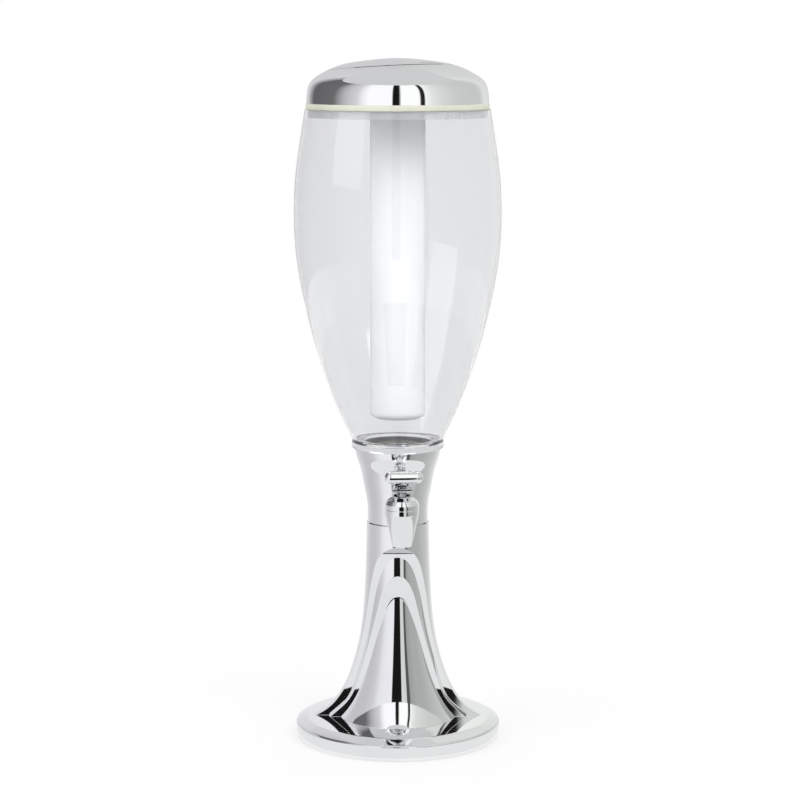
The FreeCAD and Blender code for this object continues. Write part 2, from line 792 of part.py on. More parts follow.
def make_ice_tube():
    body = new_body("ice_tube")
    outer = size("tube_radius")
    inner = outer - size("tube_wall")
    length = size("tube_length")
    lip = length + size("tube_flange_thickness")
    corner = size("tube_corner_round")
    tube = revolution(body, "tube", [
        (0, 0), (outer, 0), (outer, length), (size("tube_flange_radius"), length),
        (size("tube_flange_radius"), lip), (inner, lip), (inner, size("tube_wall")), (0, size("tube_wall"))])
    rounded = fillet(body, "outer_corner", tube, round_edges(tube, outer, as_size(0)), corner)
    inner_corner = corner - size("tube_wall")
    fillet(body, "inner_corner", rounded, round_edges(rounded, inner, size("tube_wall")), inner_corner)
    stand_on_axis(body, flange_level() - length)


def make_tube_seal():
    body = new_body("tube_seal")
    inner = size("tube_radius") + size("plug_clearance")
    outer = inner + size("collar_wall")
    thickness = size("tube_seal_thickness")
    revolution(body, "ring", [(inner, 0), (outer, 0), (outer, thickness), (inner, thickness)])
    stand_on_axis(body, flange_level() - thickness)


def make_ice_core():
    radius = (size("tube_radius") - size("tube_wall") - size("core_clearance")).value
    length = size("core_length").value
    nose = size("core_nose_length").value
    corner = size("tube_corner_round").value
    waist = length - nose
    turns = [math.radians(angle) for angle in (0, 18, 36, 54, 72)]
    tip = [(radius * math.cos(turn), waist + nose * math.sin(turn)) for turn in turns] + [(0, length)]
    bulge = corner * (1 - math.sqrt(0.5))
    heel_middle = Vector(radius - bulge, 0, bulge)
    heel = Part.Arc(Vector(radius - corner, 0, 0), heel_middle, Vector(radius, 0, corner))
    edges = [segment((0, 0), (radius - corner, 0)), heel.toShape(), segment((radius, corner), (radius, waist)),
             spline(tip, Vector(0, 0, 1), Vector(-1, 0, 0)), segment((0, length), (0, 0))]
    base = flange_level().value - size("tube_length").value + size("tube_wall").value
    shaped("ice_core", revolved_wire(edges), FreeCAD.Placement(Vector(0, 0, base), FreeCAD.Rotation()))


# Tap: body with threaded shank, washers, nut, bonnet, stem, seat cup and lever

def make_tap_body():
    body = new_body("tap_body")
    radius = size("tap_body_radius")
    nose = size("tap_nose_radius")
    bore = size("tap_bore_radius")
    chamber = size("tap_chamber_radius")
    seat = size("tap_seat_drop") * -1
    foot = size("tap_nose_drop") * -1
    top = size("tap_body_rise")
    revolution(body, "cone", [(0, foot), (nose, foot), (radius, size("tap_shoulder")), (radius, top), (0, top)])
    flange = prism(body, "flange", "XZ_Plane", lambda sketch: add_circle(
        sketch, 0, 0, size("flange_radius")), size("flange_thickness"), reverse=True)
    flange.Profile[0].setExpression("AttachmentOffset.Base.z", (size("flange_thickness") - flange_reach()).text)
    prism(body, "shank", "XZ_Plane", lambda sketch: add_circle(sketch, 0, 0, size("shank_radius")),
          shank_reach(), reverse=True)
    groove = revolution(body, "waterway", [
        (0, foot), (bore, foot), (bore, seat), (chamber, seat), (chamber, top), (0, top)],
        "PartDesign::Groove")
    body.Tip = groove
    prism(body, "passage", "XZ_Plane", lambda sketch: add_circle(sketch, 0, 0, size("shank_bore_radius")),
          shank_reach(), cut=True)
    stand_at_tap(body, tap_level)


def flange_reach():
    return size("tap_reach") - size("tap_pad_reach") - size("washer_thickness")


def shank_reach():
    inside = size("tap_pad_inner_reach") - size("washer_thickness") - size("tap_nut_height") - size("shank_tail")
    return size("tap_reach") - inside


def make_flat_ring(label, outer, inner, thickness, start):
    """A ring round the shank, its near face at a distance behind the tap's upright axis."""
    body = new_body(label)
    ring = prism(body, "ring", "XZ_Plane", lambda sketch: add_ring(sketch, 0, 0, outer, inner),
                 thickness, reverse=True)
    ring.Profile[0].setExpression("AttachmentOffset.Base.z", (start * -1).text)
    doc.recompute()
    stand_at_tap(body, tap_level)


def make_shank_fittings():
    bore = size("shank_radius") + size("fit_clearance")
    thickness = size("washer_thickness")
    make_flat_ring("tap_washer_outer", size("washer_radius"), bore, thickness, flange_reach())
    inner_face = size("tap_reach") - size("tap_pad_inner_reach")
    make_flat_ring("tap_washer_inner", size("washer_radius"), bore, thickness, inner_face)
    nut = new_body("tap_nut")
    height = size("tap_nut_height")

    def outline(sketch):
        hexagon(sketch, size("tap_nut_flats"))
        add_circle(sketch, 0, 0, bore)

    hexed = prism(nut, "hex", "XZ_Plane", outline, height, reverse=True)
    hexed.Profile[0].setExpression("AttachmentOffset.Base.z", ((inner_face + thickness) * -1).text)
    doc.recompute()
    stand_at_tap(nut, tap_level)


def bonnet_base():
    return tap_level + size("tap_body_rise")


def make_tap_bonnet():
    body = new_body("tap_bonnet")
    radius = size("tap_body_radius")
    top = size("bonnet_top_radius")
    height = size("bonnet_height")
    wall = size("bonnet_wall")
    bore = size("stem_radius") + size("stem_clearance")
    spigot = size("tap_chamber_radius") - size("stem_clearance")
    rim = size("bonnet_rim")
    skirt = size("bonnet_skirt") * -1
    ceiling = height - wall * 2
    shoulder = rim + size("bonnet_shoulder_rise")
    cap = revolution(body, "cap", [
        (bore, height), (bore, ceiling), (spigot - wall, ceiling), (spigot - wall, skirt),
        (spigot, skirt), (spigot, 0), (radius, 0), (radius, rim),
        (radius - wall, shoulder), (top + wall / 4, height - wall / 4), (top, height)])
    edges = round_edges(cap, radius, rim) + round_edges(cap, radius - wall, shoulder)
    fillet(body, "shoulder", cap, edges, wall / 2)
    stand_at_tap(body, bonnet_base())


def seat_level():
    return tap_level - size("tap_seat_drop") + size("seat_gap")


def pin_level():
    return tap_level + size("pin_rise")


def make_seat_cup():
    body = new_body("seat_cup")
    outer = size("seat_cup_radius")
    height = size("seat_cup_height")
    rod = size("stem_radius") + size("fit_clearance")
    revolution(body, "bell", [
        (0, 0), (outer, 0), (outer, height / 3), (outer - size("bonnet_wall") / 2, height), (rod, height),
        (rod, height / 3), (0, height / 3)])
    stand_at_tap(body, seat_level())


def make_valve_stem():
    body = new_body("valve_stem")
    start = seat_level() + size("seat_cup_height") / 3
    length = pin_level() - start
    head = size("stem_head_radius")
    prism(body, "rod", "XY_Plane", lambda sketch: add_circle(sketch, 0, 0, size("stem_radius")), length)
    prism(body, "eye", "YZ_Plane", lambda sketch: add_circle(sketch, 0, length, head),
          size("stem_head_width"), midplane=True)
    hole = size("pin_radius") + size("pin_clearance")
    prism(body, "pin_hole", "YZ_Plane", lambda sketch: add_circle(sketch, 0, length, hole),
          size("stem_head_width") * 2, cut=True, midplane=True)
    stand_at_tap(body, start)


def make_stem_ring():
    body = new_body("stem_ring")
    inner = size("stem_radius") + size("stem_clearance")
    height = size("stem_ring_height")
    outer = size("stem_ring_radius")
    revolution(body, "ring", [(inner, 0), (outer, 0), (outer, height), (inner, height)])
    stand_at_tap(body, bonnet_base() + size("bonnet_height") - size("bonnet_wall") * 2 - height)


def make_lever_pin():
    body = new_body("lever_pin")
    prism(body, "pin", "YZ_Plane", lambda sketch: add_circle(sketch, 0, 0, size("pin_radius")),
          size("hub_width") - size("pin_clearance") * 2, midplane=True)
    stand_at_tap(body, pin_level())


def cam_points(base, rate, sweep, steps):
    """Cam edge that lifts in proportion to its turn: an involute, from straight down round to the back."""
    points = []
    for step in range(steps + 1):
        angle = sweep * step / steps
        lift = base + rate * angle
        points.append((lift * math.sin(angle) + rate * math.cos(angle),
                       -lift * math.cos(angle) + rate * math.sin(angle)))
    return points


def make_lever():
    hub = size("hub_radius").value
    rest = math.radians(size("lever_rest_angle").value)
    travel = math.radians(size("lever_travel_angle").value)
    rate = size("valve_lift").value / travel
    base = (pin_level() - bonnet_base() - size("bonnet_height") - size("cam_gap")).value
    width = size("hub_width").value
    length = size("lever_length").value
    head = size("lever_head_radius").value
    head_width = size("lever_head_width").value
    across = Vector(1, 0, 0)
    left = Vector(-width / 2, 0, 0)
    knuckle = Part.makeCylinder(min(hub, base), width, left, across)
    steps = 6
    edge = [Vector(-width / 2, along, up) for along, up in cam_points(base, rate, travel, steps)]
    nose = Part.BSplineCurve()
    nose.interpolate(Points=edge)
    centre = Vector(-width / 2, 0, 0)
    cam_wire = Part.Wire([nose.toShape(), Part.LineSegment(edge[-1], centre).toShape(),
                          Part.LineSegment(centre, edge[0]).toShape()])
    cam = Part.Face(cam_wire).extrude(Vector(width, 0, 0))
    web_half = size("lever_web").value / 2
    arm = paddle(width, head_width, length, head, web_half)
    arm.rotate(Vector(0, 0, 0), across, -math.degrees(rest))
    slot_half = size("stem_head_width").value / 2 + size("hub_slot_clearance").value
    reach = size("stem_head_radius").value + size("hub_slot_clearance").value
    slot = Part.makeCylinder(reach, 2 * slot_half, Vector(-slot_half, 0, 0), across)
    slot = slot.fuse(swept_slot(slot_half, reach, base + hub, travel))
    bore_radius = size("pin_radius").value + size("pin_clearance").value
    bore = Part.makeCylinder(bore_radius, 2 * width, Vector(-width, 0, 0), across)
    lever = knuckle.fuse([cam, arm]).cut([slot, bore]).removeSplitter()
    feature = shaped("tap_lever", lever)
    stand_at_tap(feature, pin_level())


def swept_slot(half, reach, depth, travel):
    """Room for the stem under the pin through the lever's whole travel."""
    pieces = []
    steps = 4
    for step in range(steps + 1):
        block = Part.makeBox(2 * half, 2 * reach, depth, Vector(-half, -reach, -depth))
        block.rotate(Vector(0, 0, 0), Vector(1, 0, 0), math.degrees(travel) * step / steps)
        pieces.append(block)
    return pieces[0].fuse(pieces[1:])


def paddle(width, head_width, length, head, web_half):
    """Fan-shaped arm along -Y from the hub to a rolled thumb end."""
    tip_half = head_width / 2 - head
    corners = [(-width / 2, 0), (-tip_half, -length), (tip_half, -length), (width / 2, 0)]
    points = [Vector(across, along, -web_half) for across, along in corners]
    fan = Part.Face(Part.makePolygon(points + points[:1])).extrude(Vector(0, 0, 2 * web_half))
    roll = Part.makeCylinder(head, 2 * tip_half, Vector(-tip_half, -length, 0), Vector(1, 0, 0))
    ends = [Part.makeSphere(head, Vector(side * tip_half, -length, 0)) for side in (-1, 1)]
    return fan.fuse([roll] + ends)


make_foot_disc()
make_bottom_cover()
make_rubber_feet()
make_cover_screws()
make_ballast()
make_pedestal()
make_tie_rod()
make_rod_fasteners()
make_cup()
make_barrel()
make_barrel_gasket()
make_lid_shell()
make_lid_crown()
make_crown_seal()
make_lid_plug()
make_lid_seal()
make_ice_tube()
make_tube_seal()
make_ice_core()
make_tap_body()
make_shank_fittings()
make_tap_bonnet()
make_seat_cup()
make_valve_stem()
make_stem_ring()
make_lever_pin()
make_lever()
doc.recompute()

PARTS = [item for item in doc.Objects if item.TypeId == "PartDesign::Body" or item.TypeId == "Part::Feature"]
for item in doc.Objects:
    if "Invalid" in item.State or "Error" in item.State:
        raise RuntimeError(item.Label + " failed: " + str(item.State))
for item in PARTS:
    if item.Shape.isNull() or not item.Shape.isValid() or item.Shape.Volume <= 0:
        raise RuntimeError(item.Label + " has no valid solid")
os.makedirs("parts", exist_ok=True)
for item in PARTS:
    item.Shape.exportStep("parts/" + item.Label + ".step")
    print(item.Label, len(item.Shape.Solids), "solids", round(item.Shape.Volume / 1000, 2), "cm3")
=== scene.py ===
import math

import bmesh
import bpy
import numpy as np
from mathutils import Matrix, Vector


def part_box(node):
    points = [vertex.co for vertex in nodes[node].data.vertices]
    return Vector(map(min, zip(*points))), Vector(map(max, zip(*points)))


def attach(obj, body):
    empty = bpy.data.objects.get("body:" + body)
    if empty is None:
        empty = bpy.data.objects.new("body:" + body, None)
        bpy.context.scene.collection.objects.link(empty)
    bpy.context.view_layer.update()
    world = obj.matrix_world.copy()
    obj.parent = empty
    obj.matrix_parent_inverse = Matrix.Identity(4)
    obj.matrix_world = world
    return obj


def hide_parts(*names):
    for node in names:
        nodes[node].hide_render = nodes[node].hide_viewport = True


# Tabletop drink tower: clear reservoir on a chrome pedestal, domed lid with an ice tube, lever tap.
# Shapes are written in millimetres, in the frame of the solids, and scaled to metres when a mesh is made.

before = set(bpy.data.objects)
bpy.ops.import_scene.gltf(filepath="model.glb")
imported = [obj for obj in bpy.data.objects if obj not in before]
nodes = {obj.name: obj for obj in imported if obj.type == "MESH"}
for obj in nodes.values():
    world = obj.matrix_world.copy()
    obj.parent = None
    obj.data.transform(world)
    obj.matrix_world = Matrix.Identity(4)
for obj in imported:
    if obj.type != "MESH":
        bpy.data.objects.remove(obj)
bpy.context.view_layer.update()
MM = 0.001


def low(node):
    """Lowest height of a solid, in millimetres."""
    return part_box(node)[0].z / MM


def high(node):
    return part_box(node)[1].z / MM


def reach(node):
    """Largest half-width of a solid across X, in millimetres."""
    return (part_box(node)[1].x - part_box(node)[0].x) / 2 / MM


# Levels and sizes read from the frame
FOOT_TOP = high("foot_disc")
FOOT_LOW = low("foot_disc")
FOOT_RADIUS = reach("foot_disc")
SEAM = high("pedestal")
COLUMN = SEAM - FOOT_TOP
CUP_TOP = high("cup")
BARREL_TOP = high("barrel")
LID_BASE = low("lid_shell")
TUBE_LOW = low("ice_tube")
TUBE_HIGH = high("ice_tube")
SEAL_RADIUS = reach("lid_seal")

# Outline stations, (radius or half-depth, height)
OUTER_LOBE = [(64.0, 0), (55.6, 5), (47.0, 14), (37.0, 34), (28.7, 66), (25.6, 96), (23.8, COLUMN)]
MIDDLE_LOBE = [(53.5, 0), (48.0, 5), (39.8, 14), (32.4, 34), (25.2, 66), (21.6, 96), (18.4, COLUMN)]
INNER_LOBE = [(45.0, 0), (41.0, 5), (35.6, 14), (28.3, 34), (21.3, 66), (17.2, 96), (15.6, COLUMN)]
OUTER_FLOOR = [(5.5, 0), (8.0, 34), (10.5, 66), (12.9, 96), (15.9, 114), (21.2, 131), (26.0, 140),
               (26.0, COLUMN + 1)]
MIDDLE_FLOOR = [(10.2, 0), (13.2, 34), (14.6, 66), (16.4, 88), (18.5, 105), (20.4, 113), (24.0, 124),
                (24.0, COLUMN + 1)]
CUP_OUTLINE = [(23.0, 0.6), (23.3, 14), (25.9, 29), (28.9, 43), (32.3, 54), (33.2, 61.8)]
BARREL_OUTLINE = [(34.2, 2.0), (43.9, 22.5), (58.4, 61), (70.6, 107), (77.1, 146), (78.3, 172), (76.6, 206),
                  (72.4, 235), (69.8, 251.9)]
DOME_OUTLINE = [(68.4, 0), (67.6, 10), (65.2, 16), (57.6, 22), (45.2, 27.8), (27.6, 31.4), (0, 33.6)]

# Sizes that the solids share, in millimetres
FOOT_FLAT = 70.0
FOOT_BEVEL = 77.4
FOOT_WALL = 3.0
ROD_HOLE = 4.5
CUP_WALL = 2.4
CUP_LEDGE = 48.0
CUP_BORE = 18.85
CUP_FLOOR_DROP = 4.0
CUP_FLOOR = 2.4
ROD_BORE = 4.1
SPIGOT_RADIUS = 21.25
SPIGOT_LENGTH = 16.0
SEAM_FLOOR = 20.0
SEAM_GAP = 0.6
SOCKET_RADIUS = 28.5
RIM_GAP = 0.3
BARREL_WALL = 2.2
NECK_RADIUS = SOCKET_RADIUS - 0.15
NECK_BORE = NECK_RADIUS - 2.4
BEAD_INNER = 33.35
BEAD_BULGE = 1.95
BEAD_HALF_HEIGHT = 3.3
BEAD_MIDDLE = -1.3
SEAL_INNER = 67.75
LID_WALL = 2.2
LID_INNER = 66.2
CROWN_LEVEL = 26.2
CROWN_SLOPE = math.tan(math.radians(4.3))
CROWN_TURN = math.radians(-48.0)
CROWN_GAP = 0.5
FILLER_RADIUS = 30.0
FILLER_LIP = 2.4
RING_OUTER = FILLER_RADIUS - 0.3
RING_INNER = RING_OUTER - 2.2
RING_DEPTH = 7.0
SHELF_RADIUS = RING_OUTER + 3.3
SHELF_HEIGHT = 1.6
TUBE_RADIUS = 21.0
TUBE_WALL = 1.8
TUBE_CORNER = 5.0
FLANGE_RADIUS = 25.0
FLANGE_THICKNESS = 2.0
CORE_NOSE = 38.0
TAP_TURN = math.radians(4.5)
TAP_REACH = 42.0
TAP_LEVEL = 179.0
AROUND = 256


# Curves

def spline(points, count, start=None, end=None):
    """Cubic spline through points, spaced by chord length, sampled evenly; optional end directions."""
    p = np.array(points, float)
    t = np.concatenate([[0], np.cumsum(np.linalg.norm(np.diff(p, axis=0), axis=1))])
    n = len(p)
    step = np.diff(t)
    a = np.zeros((n, n))
    b = np.zeros((n, 2))
    for i in range(1, n - 1):
        a[i, i - 1] = step[i - 1]
        a[i, i] = 2 * (step[i - 1] + step[i])
        a[i, i + 1] = step[i]
        b[i] = 6 * ((p[i + 1] - p[i]) / step[i] - (p[i] - p[i - 1]) / step[i - 1])
    a[0, 0] = a[-1, -1] = 1
    if start is not None:
        a[0, 0], a[0, 1] = 2 * step[0], step[0]
        b[0] = 6 * ((p[1] - p[0]) / step[0] - np.array(start, float))
    if end is not None:
        a[-1, -1], a[-1, -2] = 2 * step[-1], step[-1]
        b[-1] = 6 * (np.array(end, float) - (p[-1] - p[-2]) / step[-1])
    m = np.linalg.solve(a, b)
    out = []
    for s in np.linspace(0, t[-1], count):
        i = min(max(int(np.searchsorted(t, s)) - 1, 0), n - 2)
        u, v, w = s - t[i], t[i + 1] - s, step[i]
        out.append(m[i] * v ** 3 / (6 * w) + m[i + 1] * u ** 3 / (6 * w)
                   + (p[i] / w - m[i] * w / 6) * v + (p[i + 1] / w - m[i + 1] * w / 6) * u)
    return np.array(out)


def offset(curve, wall):
    """The same curve moved to its left by a wall, square to the curve."""
    run = np.gradient(curve, axis=0)
    length = np.linalg.norm(run, axis=1)[:, None]
    left = np.stack([-run[:, 1], run[:, 0]], axis=1) / length
    return curve + left * wall


def rounded(corners, steps=6):
    """Outline of (radius, height, rounding) corners with each corner turned by an arc."""
    out = []
    count = len(corners)
    for i, corner in enumerate(corners):
        here = np.array(corner[:2], float)
        size = corner[2] if len(corner) > 2 else 0
        if not size:
            out.append(here)
            continue
        before = np.array(corners[i - 1][:2], float) - here
        after = np.array(corners[(i + 1) % count][:2], float) - here
        before_unit = before / np.linalg.norm(before)
        after_unit = after / np.linalg.norm(after)
        half = math.acos(max(-1, min(1, float(before_unit @ after_unit)))) / 2
        setback = size / math.tan(half)
        middle = before_unit + after_unit
        centre = here + middle / np.linalg.norm(middle) * size / math.sin(half)
        start = here + before_unit * setback - centre
        finish = here + after_unit * setback - centre
        first = math.atan2(start[1], start[0])
        sweep = (math.atan2(finish[1], finish[0]) - first + math.pi) % (2 * math.pi) - math.pi
        for k in range(steps + 1):
            angle = first + sweep * k / steps
            out.append(centre + size * np.array([math.cos(angle), math.sin(angle)]))
    return out


# Meshes

def build(name, vertices, faces, place=None, crease=30):
    """A mesh piece from millimetre points, smooth except where faces meet at more than the crease angle."""
    mesh = bpy.data.meshes.new(name)
    mesh.from_pydata([tuple(float(c) * MM for c in v) for v in vertices], [], faces)
    work = bmesh.new()
    work.from_mesh(mesh)
    bmesh.ops.remove_doubles(work, verts=work.verts, dist=1e-7)
    bmesh.ops.dissolve_degenerate(work, edges=work.edges, dist=1e-8)
    bmesh.ops.recalc_face_normals(work, faces=work.faces)
    work.to_mesh(mesh)
    work.free()
    mesh.validate()
    if place is not None:
        mesh.transform(place)
    mesh.shade_smooth()
    mesh.set_sharp_from_angle(angle=math.radians(crease))
    piece = bpy.data.objects.new(name, mesh)
    bpy.context.scene.collection.objects.link(piece)
    return piece


def swept(name, section, around=AROUND, closed=True, place=None, crease=30):
    """A piece whose (radius, height) section may change with the angle: section(angle) gives the points."""
    vertices = []
    faces = []
    count = 0
    for k in range(around):
        angle = 2 * math.pi * k / around
        points = section(angle)
        count = len(points)
        vertices += [(r * math.cos(angle), r * math.sin(angle), z) for r, z in points]
    last = count if closed else count - 1
    for k in range(around):
        following = (k + 1) % around
        for i in range(last):
            j = (i + 1) % count
            faces.append((k * count + i, following * count + i, following * count + j, k * count + j))
    return build(name, vertices, faces, place, crease)


def lathe(name, outline, around=AROUND, closed=True, place=None, crease=30):
    points = [tuple(p[:2]) for p in outline]
    return swept(name, lambda angle: points, around, closed, place, crease)


def joined(name, parts):
    """Several meshes kept as one piece."""
    with bpy.context.temp_override(active_object=parts[0], selected_editable_objects=parts):
        bpy.ops.object.join()
    parts[0].name = name
    return parts[0]


# Materials

def new_material(name, color, metallic=0.0, roughness=0.4, ior=None, transmission=0.0):
    material = bpy.data.materials.new(name)
    material.use_nodes = True
    shader = material.node_tree.nodes["Principled BSDF"]
    shader.inputs["Base Color"].default_value = (*color, 1)
    shader.inputs["Metallic"].default_value = metallic
    shader.inputs["Roughness"].default_value = roughness
    shader.inputs["Transmission Weight"].default_value = transmission
    if ior is not None:
        shader.inputs["IOR"].default_value = ior
    return material, shader


def noise(material, scale, detail=3.0, stretch=(1, 1, 1)):
    """Noise in the object's own space, stretched along its axes."""
    tree = material.node_tree
    coordinates = tree.nodes.new("ShaderNodeTexCoord")
    mapping = tree.nodes.new("ShaderNodeMapping")
    mapping.inputs["Scale"].default_value = stretch
    texture = tree.nodes.new("ShaderNodeTexNoise")
    texture.inputs["Scale"].default_value = scale
    texture.inputs["Detail"].default_value = detail
    tree.links.new(coordinates.outputs["Object"], mapping.inputs["Vector"])
    tree.links.new(mapping.outputs["Vector"], texture.inputs["Vector"])
    return texture.outputs["Fac"]


def varied(material, shader, socket, source, least, most):
    """A shader value that wanders between two limits by a texture."""
    tree = material.node_tree
    spread = tree.nodes.new("ShaderNodeMapRange")
    spread.inputs["From Min"].default_value = 0.3
    spread.inputs["From Max"].default_value = 0.7
    spread.inputs["To Min"].default_value = least
    spread.inputs["To Max"].default_value = most
    tree.links.new(source, spread.inputs["Value"])
    tree.links.new(spread.outputs["Result"], shader.inputs[socket])


def tinted(material, shader, source, first, second):
    """Base colour that wanders between two colours by a texture."""
    tree = material.node_tree
    ramp = tree.nodes.new("ShaderNodeValToRGB")
    ramp.color_ramp.elements[0].position = 0.35
    ramp.color_ramp.elements[0].color = (*first, 1)
    ramp.color_ramp.elements[1].position = 0.65
    ramp.color_ramp.elements[1].color = (*second, 1)
    tree.links.new(source, ramp.inputs["Fac"])
    tree.links.new(ramp.outputs["Color"], shader.inputs["Base Color"])


def bumped(material, shader, source, strength, distance, radius=0.0):
    """Fine relief, over edges softened by a small radius."""
    tree = material.node_tree
    bump = tree.nodes.new("ShaderNodeBump")
    bump.inputs["Strength"].default_value = strength
    bump.inputs["Distance"].default_value = distance
    tree.links.new(source, bump.inputs["Height"])
    if radius:
        edge = tree.nodes.new("ShaderNodeBevel")
        edge.samples = 8
        edge.inputs["Radius"].default_value = radius
        tree.links.new(edge.outputs["Normal"], bump.inputs["Normal"])
    tree.links.new(bump.outputs["Normal"], shader.inputs["Normal"])


def chrome_material(name, radius, ripple=0.00012):
    material, shader = new_material(name, (0.87, 0.87, 0.88), 1.0, 0.04)
    tinted(material, shader, noise(material, 14), (0.84, 0.845, 0.86), (0.89, 0.89, 0.89))
    varied(material, shader, "Roughness", noise(material, 60, 6), 0.02, 0.055)
    bumped(material, shader, noise(material, 9, 1), 0.25, ripple, radius)
    return material


def clear_material(name, tint, roughness, clearness):
    material, shader = new_material(name, tint, 0.0, roughness, 1.45, clearness)
    streaks = noise(material, 25, 5, (1, 1, 0.3))
    varied(material, shader, "Roughness", streaks, roughness * 0.5, roughness * 1.6)
    bumped(material, shader, noise(material, 18, 1, (1, 1, 0.4)), 0.2, 0.0002)
    return material


def soft_material(name, first, second, roughness, scale=220, depth=0.0002):
    material, shader = new_material(name, first, 0.0, roughness)
    tinted(material, shader, noise(material, scale / 6), first, second)
    patches = noise(material, scale / 3)
    varied(material, shader, "Roughness", patches, roughness * 0.85, min(1.0, roughness * 1.15))
    bumped(material, shader, noise(material, scale, 4), 0.35, depth, 0.0002)
    return material


def steel_material(name):
    material, shader = new_material(name, (0.6, 0.6, 0.61), 1.0, 0.3)
    tinted(material, shader, noise(material, 90), (0.52, 0.52, 0.53), (0.66, 0.66, 0.66))
    varied(material, shader, "Roughness", noise(material, 300, 5, (1, 1, 8)), 0.2, 0.4)
    bumped(material, shader, noise(material, 400, 4, (1, 1, 6)), 0.2, 0.0001, 0.0002)
    return material


chrome = chrome_material("chrome_plate", 0.0004)
tap_chrome = chrome_material("tap_chrome", 0.0003, 0.00005)
clear = clear_material("clear_barrel", (0.872, 0.876, 0.886), 0.02, 0.97)
tube_clear = clear_material("clear_tube", (0.975, 0.98, 0.985), 0.12, 0.6)
steel = steel_material("fastener_steel")
black_plastic = soft_material("black_plastic", (0.03, 0.03, 0.03), (0.045, 0.045, 0.045), 0.55)
black_rubber = soft_material("black_rubber", (0.02, 0.02, 0.02), (0.035, 0.035, 0.035), 0.75)
iron = soft_material("ballast_iron", (0.12, 0.12, 0.12), (0.2, 0.19, 0.18), 0.7, 300, 0.0006)
frosted_plastic = clear_material("frosted_plastic", (0.84, 0.85, 0.86), 0.22, 0.75)
seal_soft = soft_material("pale_silicone", (0.70, 0.70, 0.58), (0.77, 0.77, 0.65), 0.4)
core_white, core_shader = new_material("cooling_core", (0.96, 0.965, 0.97), 0.0, 0.35, 1.4, 0.0)
core_shader.inputs["Subsurface Weight"].default_value = 0.4
core_shader.inputs["Subsurface Radius"].default_value = (0.012, 0.012, 0.013)
varied(core_white, core_shader, "Roughness", noise(core_white, 60, 5), 0.25, 0.45)
bumped(core_white, core_shader, noise(core_white, 120, 4), 0.25, 0.0002)


def finish_piece(piece, material, body, slot, *replaced):
    piece.data.materials.clear()
    piece.data.materials.append(material)
    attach(piece, body)
    if replaced:
        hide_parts(*replaced)


# Foot: rolled shoulder and rim
foot = lathe("foot_plate", rounded([
    (ROD_HOLE, FOOT_TOP), (FOOT_FLAT, FOOT_TOP, 6.0), (FOOT_BEVEL, FOOT_TOP - 3.3, 1.2),
    (FOOT_RADIUS, FOOT_TOP - 4.6, 0.8), (FOOT_RADIUS, FOOT_LOW, 0.5), (FOOT_RADIUS - FOOT_WALL, FOOT_LOW),
    (FOOT_RADIUS - FOOT_WALL, FOOT_TOP - 7.5, 1.0), (FOOT_FLAT, FOOT_TOP - FOOT_WALL),
    (ROD_HOLE, FOOT_TOP - FOOT_WALL)]))
finish_piece(foot, chrome, "stand", "chrome", "foot_disc")


# Pedestal: cross-sections at many heights, each quadrant made of lobe arcs and flat floors

def quadrant(outer, middle, inner, first_floor, second_floor, arc=14, flat=6):
    """Points from the side (+X) to the front (+Y) of one quadrant."""
    def bow(radius, begin, end):
        angles = np.linspace(begin, end, arc)
        return [(radius * math.cos(angle), radius * math.sin(angle)) for angle in angles]

    def shelf(depth, wide, narrow):
        return [(across, depth) for across in np.linspace(wide, narrow, flat)]

    def chord(radius, depth):
        return math.sqrt(max(0.0, radius * radius - depth * depth))

    def meeting(radius, depth):
        return math.asin(min(1.0, depth / radius))

    ahead = math.pi / 2
    points = bow(outer, 0, meeting(outer, first_floor))
    if first_floor >= middle:
        depth = min(first_floor, outer)
        points += shelf(depth, chord(outer, depth), 0)
        return points + [(0.0, depth)] * (2 * arc + flat)
    points += shelf(first_floor, chord(outer, first_floor), chord(middle, first_floor))
    points += bow(middle, meeting(middle, first_floor), meeting(middle, second_floor))
    if second_floor >= inner:
        depth = min(second_floor, middle)
        points += shelf(depth, chord(middle, depth), 0)
        return points + [(0.0, depth)] * arc
    points += shelf(second_floor, chord(middle, second_floor), chord(inner, second_floor))
    return points + bow(inner, meeting(inner, second_floor), ahead)


def by_height(stations, heights):
    curve = spline(stations, 1500)
    return np.interp(heights, curve[:, 1], curve[:, 0])


def pedestal():
    heights = np.concatenate([np.linspace(0, 20, 50)[:-1], np.linspace(20, COLUMN, 260)])
    lines = [by_height(stations, heights)
             for stations in (OUTER_LOBE, MIDDLE_LOBE, INNER_LOBE, OUTER_FLOOR, MIDDLE_FLOOR)]
    vertices = []
    faces = []
    width = 0
    for row, height in enumerate(heights):
        first = quadrant(*[line[row] for line in lines])
        second = [(-x, y) for x, y in reversed(first)]
        half = first + second[1:]
        ring = half + [(-x, -y) for x, y in half[1:-1]]
        width = len(ring)
        vertices += [(x, y, FOOT_TOP + height) for x, y in ring]
    for row in range(len(heights) - 1):
        for i in range(width):
            j = (i + 1) % width
            faces.append((row * width + i, row * width + j, (row + 1) * width + j, (row + 1) * width + i))
    faces.append(tuple(range(width)))
    faces.append(tuple(range((len(heights) - 1) * width, len(heights) * width)))
    return build("pedestal_arches", vertices, faces, crease=28)


finish_piece(pedestal(), chrome, "stand", "chrome", "pedestal")

